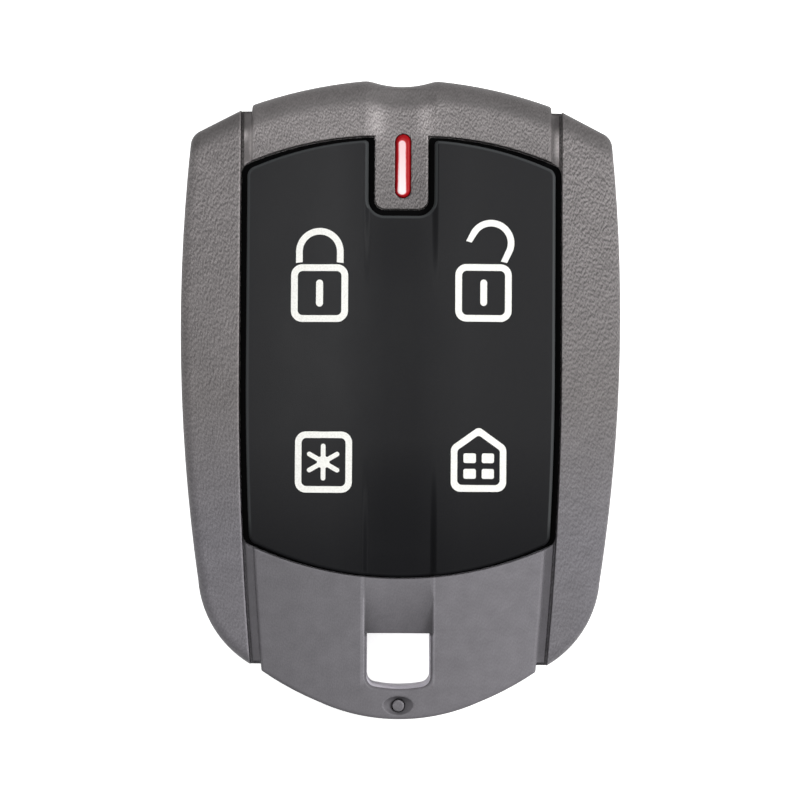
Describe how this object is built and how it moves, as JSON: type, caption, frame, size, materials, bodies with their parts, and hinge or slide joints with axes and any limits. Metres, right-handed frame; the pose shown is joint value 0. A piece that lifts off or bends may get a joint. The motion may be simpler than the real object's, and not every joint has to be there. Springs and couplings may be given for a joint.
{
  "type": "alarm remote key fob",
  "caption": "Palm sized alarm remote: grey shell with side wings, sunken black keypad with printed function symbols, red signal light and a key ring hole.",
  "frame": {"origin": "under the middle of the fob, on the surface that it rests on with its back", "axes": "+Z out of the key face, +Y to the head end with the signal light, +X to the right"},
  "size_m": [0.044, 0.0636, 0.014],
  "materials": {
    "wing_plastic": "fine grained satin",
    "back_plastic": "fine grained matte",
    "bezel_plastic": "fine grained satin",
    "keypad_silicone": "satin",
    "red_lens": "gloss",
    "board_laminate": "satin solder mask",
    "lamp_resin": "gloss",
    "switch_plastic": "matte",
    "switch_plunger_plastic": "satin",
    "plate_metal": "satin",
    "spring_metal": "bright",
    "chip_resin": "matte",
    "capacitor_ceramic": "matte",
    "antenna_copper": "gold flashed",
    "cell_steel": "satin",
    "screw_steel": "zinc plated"
  },
  "bodies": {
    "housing": {"front_cover": "wing_plastic", "rear_cover": "back_plastic", "centre_bezel": "bezel_plastic", "keypad_membrane": "keypad_silicone", "light_pipe": "red_lens", "circuit_board": "board_laminate", "status_led": "lamp_resin", "switch_bases": "switch_plastic", "switch_domes": "spring_metal", "switch_covers": "plate_metal", "microcontroller": "chip_resin", "radio_chip": "chip_resin", "crystal": "plate_metal", "saw_filter": "plate_metal", "antenna_loop": "antenna_copper", "chip_capacitors": "capacitor_ceramic", "chip_resistors": "chip_resin", "coin_cell": "cell_steel", "battery_clip": "spring_metal", "battery_contact": "spring_metal", "cover_screws": "screw_steel"},
    "key_lock": {"key_lock": "keypad_silicone"},
    "switch_plunger_lock": {"switch_plunger_lock": "switch_plunger_plastic"},
    "key_unlock": {"key_unlock": "keypad_silicone"},
    "switch_plunger_unlock": {"switch_plunger_unlock": "switch_plunger_plastic"},
    "key_star": {"key_star": "keypad_silicone"},
    "switch_plunger_star": {"switch_plunger_star": "switch_plunger_plastic"},
    "key_home": {"key_home": "keypad_silicone"},
    "switch_plunger_home": {"switch_plunger_home": "switch_plunger_plastic"}
  },
  "joints": [
    {"name": "press_lock", "type": "slide", "parent": "housing", "child": "key_lock", "axis": [0, 0, -1], "range_m": [0, 0.0003], "stiffness_N_per_m": 3000},
    {"name": "switch_lock", "type": "slide", "parent": "housing", "child": "switch_plunger_lock", "axis": [0, 0, -1], "range_m": [0, 0.0003]},
    {"name": "press_unlock", "type": "slide", "parent": "housing", "child": "key_unlock", "axis": [0, 0, -1], "range_m": [0, 0.0003], "stiffness_N_per_m": 3000},
    {"name": "switch_unlock", "type": "slide", "parent": "housing", "child": "switch_plunger_unlock", "axis": [0, 0, -1], "range_m": [0, 0.0003]},
    {"name": "press_star", "type": "slide", "parent": "housing", "child": "key_star", "axis": [0, 0, -1], "range_m": [0, 0.0003], "stiffness_N_per_m": 3000},
    {"name": "switch_star", "type": "slide", "parent": "housing", "child": "switch_plunger_star", "axis": [0, 0, -1], "range_m": [0, 0.0003]},
    {"name": "press_home", "type": "slide", "parent": "housing", "child": "key_home", "axis": [0, 0, -1], "range_m": [0, 0.0003], "stiffness_N_per_m": 3000},
    {"name": "switch_home", "type": "slide", "parent": "housing", "child": "switch_plunger_home", "axis": [0, 0, -1], "range_m": [0, 0.0003]}
  ],
  "couplings": [
    {"joint": "switch_lock", "follows": "press_lock", "ratio": 1},
    {"joint": "switch_unlock", "follows": "press_unlock", "ratio": 1},
    {"joint": "switch_star", "follows": "press_star", "ratio": 1},
    {"joint": "switch_home", "follows": "press_home", "ratio": 1}
  ]
}
